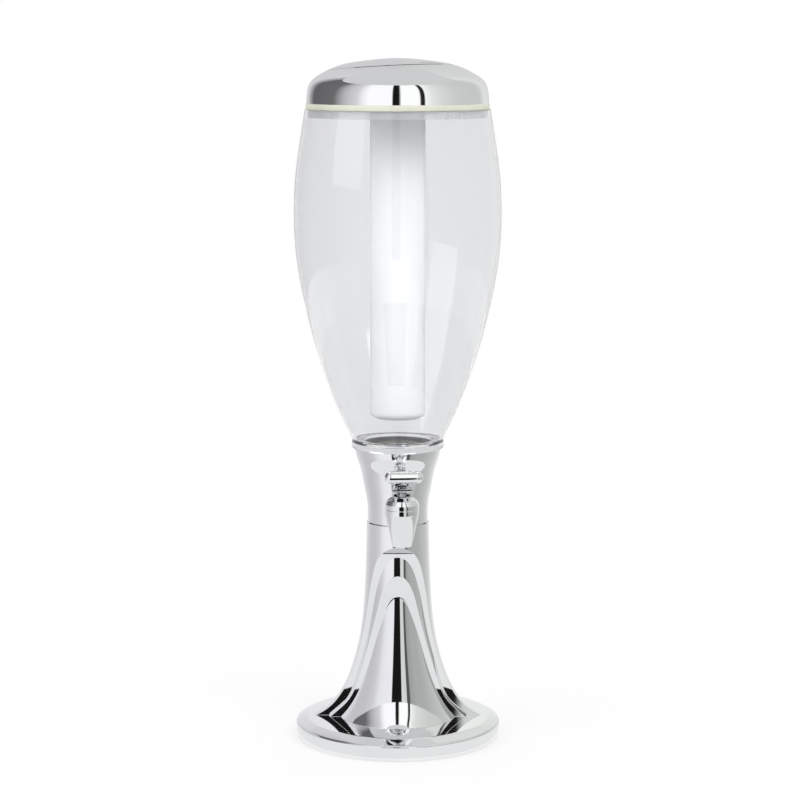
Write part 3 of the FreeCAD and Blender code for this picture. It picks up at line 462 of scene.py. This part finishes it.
# Cup and the pad that carries the tap. The gap over the seam is cut deep, so that it reads as a shadow line.
cup_skin = [(r, SEAM + z) for r, z in spline(CUP_OUTLINE, 90)]
cup_wall = [(r - CUP_WALL, z) for r, z in cup_skin[::-1] if SEAM + 14 <= z <= SEAM + 43]
cup_floor = SEAM - CUP_FLOOR_DROP
cup = lathe("cup_shell", [(SEAM_FLOOR, SEAM), (SEAM_FLOOR, SEAM + SEAM_GAP)] + cup_skin + [
    (SOCKET_RADIUS, CUP_TOP), (SOCKET_RADIUS, SEAM + CUP_LEDGE), (26.5, SEAM + CUP_LEDGE)] + cup_wall + [
    (CUP_BORE, SEAM + 14), (CUP_BORE, cup_floor), (ROD_BORE, cup_floor), (ROD_BORE, cup_floor - CUP_FLOOR),
    (CUP_BORE, cup_floor - CUP_FLOOR), (CUP_BORE, SEAM - SPIGOT_LENGTH), (SPIGOT_RADIUS, SEAM - SPIGOT_LENGTH),
    (SPIGOT_RADIUS, SEAM - 0.1), (SEAM_FLOOR, SEAM - 0.1)])
tap_centre = Vector((TAP_REACH * math.sin(TAP_TURN), -TAP_REACH * math.cos(TAP_TURN), TAP_LEVEL)) * MM
tap_place = Matrix.Translation(tap_centre) @ Matrix.Rotation(TAP_TURN, 4, "Z")
along_shank = tap_place @ Matrix.Rotation(math.radians(-90), 4, "X")
pad = lathe("tap_pad", rounded([
    (6.6, 16.0), (10.0, 16.0, 0.8), (11.2, 22.0, 1.0), (11.2, 24.0), (6.6, 24.0)]), 96, place=along_shank)
finish_piece(joined("cup_shell", [cup, pad]), chrome, "stand", "chrome", "cup")

# Barrel: blown shell with its neck in the cup and a rounded bead over the rim
base = CUP_TOP + RIM_GAP
skin = np.array([(r, base + z) for r, z in spline(BARREL_OUTLINE, 220)])
inside = offset(skin, BARREL_WALL)
inside[-1] = (skin[-1][0] - BARREL_WALL, skin[-1][1])
bead = [(BEAD_INNER + BEAD_BULGE * math.sin(angle) ** 0.8,
         base + BEAD_MIDDLE - BEAD_HALF_HEIGHT * math.cos(angle))
        for angle in np.linspace(0.0, math.pi * 0.80, 16)]
neck_low = SEAM + CUP_LEDGE + 2.0
neck = [(NECK_BORE, neck_low), (NECK_RADIUS, neck_low), (NECK_RADIUS, base), (BEAD_INNER, base)]
barrel = lathe("barrel_shell", neck + bead + [tuple(p) for p in skin] + [tuple(p) for p in inside[::-1]]
               + [(NECK_BORE, base + BARREL_WALL)])
finish_piece(barrel, clear, "stand", "clear_plastic", "barrel")

# Seal between barrel and lid, slightly bulged
seal = lathe("lid_seal_band", rounded([
    (SEAL_INNER, BARREL_TOP), (SEAL_RADIUS - 0.1, BARREL_TOP, 0.5), (SEAL_RADIUS, (BARREL_TOP + LID_BASE) / 2),
    (SEAL_RADIUS - 0.1, LID_BASE, 0.5), (SEAL_INNER, LID_BASE)]))
finish_piece(seal, seal_soft, "stand", "pale_seal", "lid_seal")

# Lid: dome outline, cut by the inclined parting plane at every angle
dome = spline(DOME_OUTLINE, 400, (0, 1), (-1, 0))
dome_inner = offset(dome, LID_WALL)


def parting(radius, angle):
    return CROWN_LEVEL + CROWN_SLOPE * radius * math.cos(angle - CROWN_TURN)


def resampled(points, count):
    """The same line with evenly spaced points."""
    p = np.array(points, float)
    t = np.concatenate([[0], np.cumsum(np.linalg.norm(np.diff(p, axis=0), axis=1))])
    s = np.linspace(0, t[-1], count)
    return [(float(np.interp(v, t, p[:, 0])), float(np.interp(v, t, p[:, 1]))) for v in s]


def cut_point(curve, angle, lift):
    """Where a dome curve meets the parting plane moved up by lift, and the index of the next point."""
    over = [z - parting(r, angle) - lift for r, z in curve]
    i = next((index for index, value in enumerate(over) if value >= 0), len(curve) - 1)
    before = max(i - 1, 0)
    share = -over[before] / (over[i] - over[before]) if over[i] != over[before] else 0
    return curve[before] + (curve[i] - curve[before]) * share, i


def lid_section(angle):
    """Outline of the lid's wall, parting face, filler lip and inside at one angle."""
    edge, i = cut_point(dome, angle, 0)
    inner_edge, j = cut_point(dome_inner, angle, -LID_WALL)
    outer = resampled(list(dome[:i]) + [edge], 90)
    round_over = [(edge[0] - 0.5, parting(edge[0] - 0.5, angle) + 0.02)]
    rim = FILLER_RADIUS + FILLER_LIP
    roof = [(r, parting(r, angle)) for r in np.linspace(edge[0] - 1.0, FILLER_RADIUS + 0.6, 12)]
    lip = [(FILLER_RADIUS, parting(FILLER_RADIUS, angle) - 0.6),
           (FILLER_RADIUS, parting(FILLER_RADIUS, angle) - RING_DEPTH),
           (rim, parting(rim, angle) - RING_DEPTH), (rim, parting(rim, angle) - LID_WALL)]
    under = resampled([inner_edge] + [p for p in dome_inner[:j][::-1] if p[1] > 0] + [(LID_INNER, 0)], 60)
    return [(r, z + LID_BASE) for r, z in outer + round_over + roof + lip + under]


def crown_section(angle):
    """Outline of the crown's skin, its shelf and the ring that drops into the filler hole, at one angle."""
    edge, i = cut_point(dome, angle, CROWN_GAP)
    inner_edge, j = cut_point(dome_inner, angle, CROWN_GAP)
    outer = resampled([edge] + list(dome[i:]), 90)
    inner = dome_inner[j:]

    def under(radius):
        return float(np.interp(-radius, -inner[:, 0], inner[:, 1]))

    def level(radius, lift):
        return radius, parting(radius, angle) + lift

    skirt = [(r, z) for r, z in inner if r > SHELF_RADIUS] + [(SHELF_RADIUS, under(SHELF_RADIUS))]
    skirt = resampled(skirt, 30)
    ring = [level(SHELF_RADIUS, CROWN_GAP + SHELF_HEIGHT), level(SHELF_RADIUS, CROWN_GAP),
            level(RING_OUTER, CROWN_GAP), level(RING_OUTER, -RING_DEPTH), level(RING_INNER, -RING_DEPTH),
            (RING_INNER, under(RING_INNER))]
    ceiling = [(RING_INNER - 0.01, under(RING_INNER))] + [(r, z) for r, z in inner if 0 < r < RING_INNER]
    ceiling = resampled(ceiling + [(0, inner[-1][1])], 30)
    points = outer[::-1] + [tuple(inner_edge)] + skirt + ring + ceiling
    return [(max(r, 0.0), z + LID_BASE) for r, z in points]


lid = swept("lid_dome", lid_section, crease=24)
finish_piece(lid, chrome, "lid", "chrome", "lid_shell")
crown = swept("crown_cap", crown_section, closed=False, crease=24)
finish_piece(crown, chrome, "crown", "chrome", "lid_crown")

# Ice tube with its flange, and the cooling core inside
flange_low = TUBE_HIGH - FLANGE_THICKNESS
tube_bore = TUBE_RADIUS - TUBE_WALL
tube = lathe("ice_tube_wall", rounded([
    (0, TUBE_LOW), (TUBE_RADIUS, TUBE_LOW, TUBE_CORNER), (TUBE_RADIUS, flange_low),
    (FLANGE_RADIUS, flange_low, 0.4), (FLANGE_RADIUS, TUBE_HIGH, 0.6), (tube_bore, TUBE_HIGH, 0.6),
    (tube_bore, TUBE_LOW + TUBE_WALL, TUBE_CORNER - TUBE_WALL), (0, TUBE_LOW + TUBE_WALL)], 10), closed=False)
finish_piece(tube, tube_clear, "lid", "clear_plastic", "ice_tube")
# The clear parts cast no shadow, so that the core and the inside of the reservoir stay light
for see_through in (barrel, tube):
    see_through.visible_shadow = False
core_low, core_high, core_radius = low("ice_core"), high("ice_core"), reach("ice_core")
nose_low = core_high - CORE_NOSE
nose = [(core_radius * math.cos(angle), nose_low + CORE_NOSE * math.sin(angle))
        for angle in np.linspace(0, math.pi / 2, 40)]
heel = rounded([(0, core_low), (core_radius, core_low, TUBE_CORNER), (core_radius, nose_low)], 10)
core = lathe("cooling_core", [tuple(p) for p in heel] + nose[1:], closed=False)
finish_piece(core, core_white, "lid", "white_core", "ice_core")

# Tap body: conical nozzle with a collar, flange and shank
nozzle = lathe("tap_nozzle", rounded([
    (4.6, -22.0, 0.3), (7.2, -22.0, 0.7), (12.6, 2.2, 0.5), (12.8, 3.0, 0.3), (12.8, 6.6, 0.25), (9.4, 6.6),
    (9.4, -5.6), (4.6, -5.6)]), 128, place=tap_place)
shank = lathe("tap_shank", rounded([
    (4.2, 9.0), (6.4, 9.0), (6.4, 13.2), (10.0, 13.2, 0.5), (10.0, 14.4), (6.4, 14.4), (6.4, 30.8, 0.4),
    (4.2, 30.8)]), 96, place=along_shank)
finish_piece(joined("tap_nozzle", [nozzle, shank]), tap_chrome, "stand", "chrome", "tap_body")
bonnet = lathe("tap_cap", rounded([
    (2.68, 16.6), (2.68, 12.2), (7.12, 12.2), (7.12, 3.0), (9.32, 3.0), (9.32, 6.6), (12.8, 6.6, 0.4),
    (12.8, 10.4, 2.5), (11.2, 13.6, 2.2), (8.2, 16.0, 1.2), (6.4, 16.6, 0.8)]), 128, place=tap_place)
finish_piece(bonnet, tap_chrome, "stand", "chrome", "tap_bonnet")

# Solids that keep their own mesh
for node, material in {
        "bottom_cover": black_plastic, "rubber_feet": black_rubber, "cover_screws": steel, "ballast": iron,
        "tie_rod": steel, "rod_nut": steel, "rod_washer": steel, "barrel_gasket": seal_soft,
        "tap_washer_outer": black_rubber, "tap_washer_inner": black_rubber, "tap_nut": steel,
        "stem_ring": black_rubber, "lid_plug": frosted_plastic, "tube_seal": seal_soft, "crown_seal": seal_soft,
        "valve_stem": steel, "seat_cup": black_rubber, "lever_pin": steel, "tap_lever": tap_chrome}.items():
    nodes[node].data.materials.clear()
    nodes[node].data.materials.append(material)

# Studio: pale floor, soft boxes, and cards that only reflections see
scene = bpy.context.scene
scene.view_settings.view_transform = "Standard"


def white_to_view(tree, dim):
    """1 for camera, mirror and glass rays, and a dimmer level for the light that falls on the object."""
    path = tree.nodes.new("ShaderNodeLightPath")
    first = tree.nodes.new("ShaderNodeMath")
    first.operation = "MAXIMUM"
    second = tree.nodes.new("ShaderNodeMath")
    second.operation = "MAXIMUM"
    tree.links.new(path.outputs["Is Camera Ray"], first.inputs[0])
    tree.links.new(path.outputs["Is Glossy Ray"], first.inputs[1])
    tree.links.new(first.outputs[0], second.inputs[0])
    tree.links.new(path.outputs["Is Transmission Ray"], second.inputs[1])
    spread = tree.nodes.new("ShaderNodeMapRange")
    spread.inputs["To Min"].default_value = dim
    spread.inputs["To Max"].default_value = 1.0
    tree.links.new(second.outputs[0], spread.inputs["Value"])
    return spread.outputs["Result"]


world = bpy.data.worlds.new("studio")
scene.world = world
world.use_nodes = True
background = world.node_tree.nodes["Background"]
background.inputs["Color"].default_value = (1, 1, 1, 1)
world.node_tree.links.new(white_to_view(world.node_tree, 0.45), background.inputs["Strength"])

floor_mesh = bpy.data.meshes.new("floor")
floor_mesh.from_pydata([(-6, -6, 0), (6, -6, 0), (6, 6, 0), (-6, 6, 0)], [], [(0, 1, 2, 3)])
floor = bpy.data.objects.new("floor", floor_mesh)
scene.collection.objects.link(floor)
floor_paint = bpy.data.materials.new("floor_paint")
floor_paint.use_nodes = True
tree = floor_paint.node_tree
matte = tree.nodes["Principled BSDF"]
matte.inputs["Base Color"].default_value = (0.9, 0.9, 0.9, 1)
matte.inputs["Roughness"].default_value = 0.9
glow = tree.nodes.new("ShaderNodeEmission")
glow.inputs["Color"].default_value = (1, 1, 1, 1)
blend = tree.nodes.new("ShaderNodeMixShader")
place = tree.nodes.new("ShaderNodeNewGeometry")
distance = tree.nodes.new("ShaderNodeVectorMath")
distance.operation = "LENGTH"
tree.links.new(place.outputs["Position"], distance.inputs[0])
fade = tree.nodes.new("ShaderNodeMapRange")
fade.inputs["From Min"].default_value = 0.08
fade.inputs["From Max"].default_value = 0.32
fade.inputs["To Min"].default_value = 0.72
fade.inputs["To Max"].default_value = 1.0
tree.links.new(distance.outputs["Value"], fade.inputs["Value"])
share = tree.nodes.new("ShaderNodeMath")
share.operation = "MULTIPLY"
tree.links.new(white_to_view(tree, 0.0), share.inputs[0])
tree.links.new(fade.outputs["Result"], share.inputs[1])
tree.links.new(share.outputs[0], blend.inputs["Fac"])
tree.links.new(matte.outputs["BSDF"], blend.inputs[1])
tree.links.new(glow.outputs["Emission"], blend.inputs[2])
tree.links.new(blend.outputs["Shader"], tree.nodes["Material Output"].inputs["Surface"])
floor_mesh.materials.append(floor_paint)


def glossy_only(card):
    """A studio card that only mirror reflections see."""
    scene.collection.objects.link(card)
    card.visible_camera = False
    card.visible_diffuse = False
    card.visible_transmission = False
    card.visible_shadow = False
    card.visible_volume_scatter = False


def glowing(name, shade=(1, 1, 1)):
    """A plain glowing paint, and the shader node that colours it."""
    paint = bpy.data.materials.new(name)
    paint.use_nodes = True
    paint.node_tree.nodes.remove(paint.node_tree.nodes["Principled BSDF"])
    light = paint.node_tree.nodes.new("ShaderNodeEmission")
    light.inputs["Color"].default_value = (*shade, 1)
    surface = paint.node_tree.nodes["Material Output"].inputs["Surface"]
    paint.node_tree.links.new(light.outputs["Emission"], surface)
    return paint, light


def surround(name, bottom, top, stops, cast, radius=0.85):
    """A ring of card round the object, its tone given by (degrees from the front, level) stops."""
    angles = np.radians(np.linspace(-180, 180, 145))
    vertices = []
    for angle in angles[:-1]:
        x, y = radius * math.sin(angle), -radius * math.cos(angle)
        vertices += [(x, y, bottom), (x, y, top)]
    count = len(angles) - 1
    faces = [(2 * i, 2 * ((i + 1) % count), 2 * ((i + 1) % count) + 1, 2 * i + 1) for i in range(count)]
    mesh = bpy.data.meshes.new(name)
    mesh.from_pydata(vertices, [], faces)
    paint, light = glowing(name + "_paint")
    tree = paint.node_tree
    coordinates = tree.nodes.new("ShaderNodeTexCoord")
    turned = tree.nodes.new("ShaderNodeMapping")
    turned.inputs["Rotation"].default_value = (0, 0, math.pi / 2)
    gradient = tree.nodes.new("ShaderNodeTexGradient")
    gradient.gradient_type = "RADIAL"
    ramp = tree.nodes.new("ShaderNodeValToRGB")
    tree.links.new(coordinates.outputs["Object"], turned.inputs["Vector"])
    tree.links.new(turned.outputs["Vector"], gradient.inputs["Vector"])
    tree.links.new(gradient.outputs["Fac"], ramp.inputs["Fac"])
    tree.links.new(ramp.outputs["Color"], light.inputs["Color"])
    elements = ramp.color_ramp.elements
    while len(elements) > 1:
        elements.remove(elements[-1])
    elements[0].position = 0.0
    for degrees, level in stops:
        element = elements[0] if degrees == -180 else elements.new(0.5 + degrees / 360)
        tone = cast[0] if degrees < 0 else cast[1]
        element.color = (level * tone[0], level * tone[1], level * tone[2], 1)
    mesh.materials.append(paint)
    glossy_only(bpy.data.objects.new(name, mesh))


COOL = (0.99, 0.99, 1.02)
GREENISH = (0.99, 1.01, 0.99)
surround("upper_surround", 0.15, 1.5, [
    (-180, 0.66), (-150, 0.72), (-130, 0.20), (-128, 0.14), (-85, 0.16), (-79, 0.28), (-70, 0.48), (-60, 0.62),
    (-50, 0.72), (-43, 0.95), (-35, 1.12), (-6.6, 1.12), (-6, 0.01), (2.6, 0.01), (3.2, 1.12), (26.6, 1.12),
    (27.2, 0.02), (32.6, 0.02), (33.2, 1.05), (38, 0.95), (44, 0.84), (55, 0.76), (80, 0.67), (108, 0.65),
    (122, 0.66), (136, 0.84), (155, 0.76), (180, 0.66)], (COOL, GREENISH))
surround("lower_surround", 0.002, 0.205, [
    (-180, 0.95), (-150, 0.80), (-112, 0.62), (-90, 0.62), (-70, 0.70), (-53, 0.90), (-40, 0.95), (-17, 0.97),
    (-16, 0.01), (10, 0.01), (10.8, 0.80), (24, 0.72), (25, 0.10), (33, 0.10), (34, 0.38), (54, 0.46),
    (72, 0.46), (91, 0.52), (115, 0.60), (154, 0.85), (180, 0.95)], (COOL, GREENISH), 0.32)


def flat_card(name, paint, shade, vertices, faces):
    """A level card that only mirror reflections see."""
    mesh = bpy.data.meshes.new(name)
    mesh.from_pydata(vertices, [], faces)
    mesh.materials.append(glowing(paint, shade)[0])
    glossy_only(bpy.data.objects.new(name, mesh))


CEILING = 1.6
flat_card("ceiling", "ceiling_paint", (0.68, 0.685, 0.70),
          [(-3, -3, CEILING), (3, -3, CEILING), (3, 3, CEILING), (-3, 3, CEILING)], [(0, 1, 2, 3)])
APRON_SIDES = 72
APRON_RADII = (0.084, 0.33)
apron_turns = np.radians(np.arange(0, 360, 360 / APRON_SIDES))
apron_points = 2 * APRON_SIDES
flat_card(
    "floor_apron", "apron_paint", (0.87, 0.875, 0.88),
    [(size * math.cos(turn), size * math.sin(turn), 0.001) for turn in apron_turns for size in APRON_RADII],
    [(i, i + 1, (i + 3) % apron_points, (i + 2) % apron_points) for i in range(0, apron_points, 2)])


def softbox(name, place, target, width, height, power):
    lamp = bpy.data.lights.new(name, "AREA")
    lamp.shape = "RECTANGLE"
    lamp.size = width
    lamp.size_y = height
    lamp.energy = power
    box = bpy.data.objects.new(name, lamp)
    box.location = place
    box.rotation_euler = (Vector(target) - Vector(place)).to_track_quat("-Z", "Y").to_euler()
    box.visible_glossy = False
    scene.collection.objects.link(box)


softbox("key", (0.9, -1.3, 1.5), (0, 0, 0.3), 1.0, 1.0, 16)
softbox("fill", (-1.4, -0.8, 1.1), (0, 0, 0.3), 1.2, 1.2, 10)
softbox("top", (0, 0.2, 1.9), (0, 0, 0.3), 1.4, 1.4, 12)

# Camera where the photograph was taken from: square on, looking down a little
VIEW_PITCH = math.radians(8.35)
camera_data = bpy.data.cameras.new("camera")
camera_data.sensor_width = 36.0
camera_data.lens = 109.2
camera = bpy.data.objects.new("camera", camera_data)
camera.location = (0.0017, -1.830, 0.5305)
camera.rotation_euler = (math.pi / 2 - VIEW_PITCH, 0, 0)
scene.collection.objects.link(camera)
scene.camera = camera
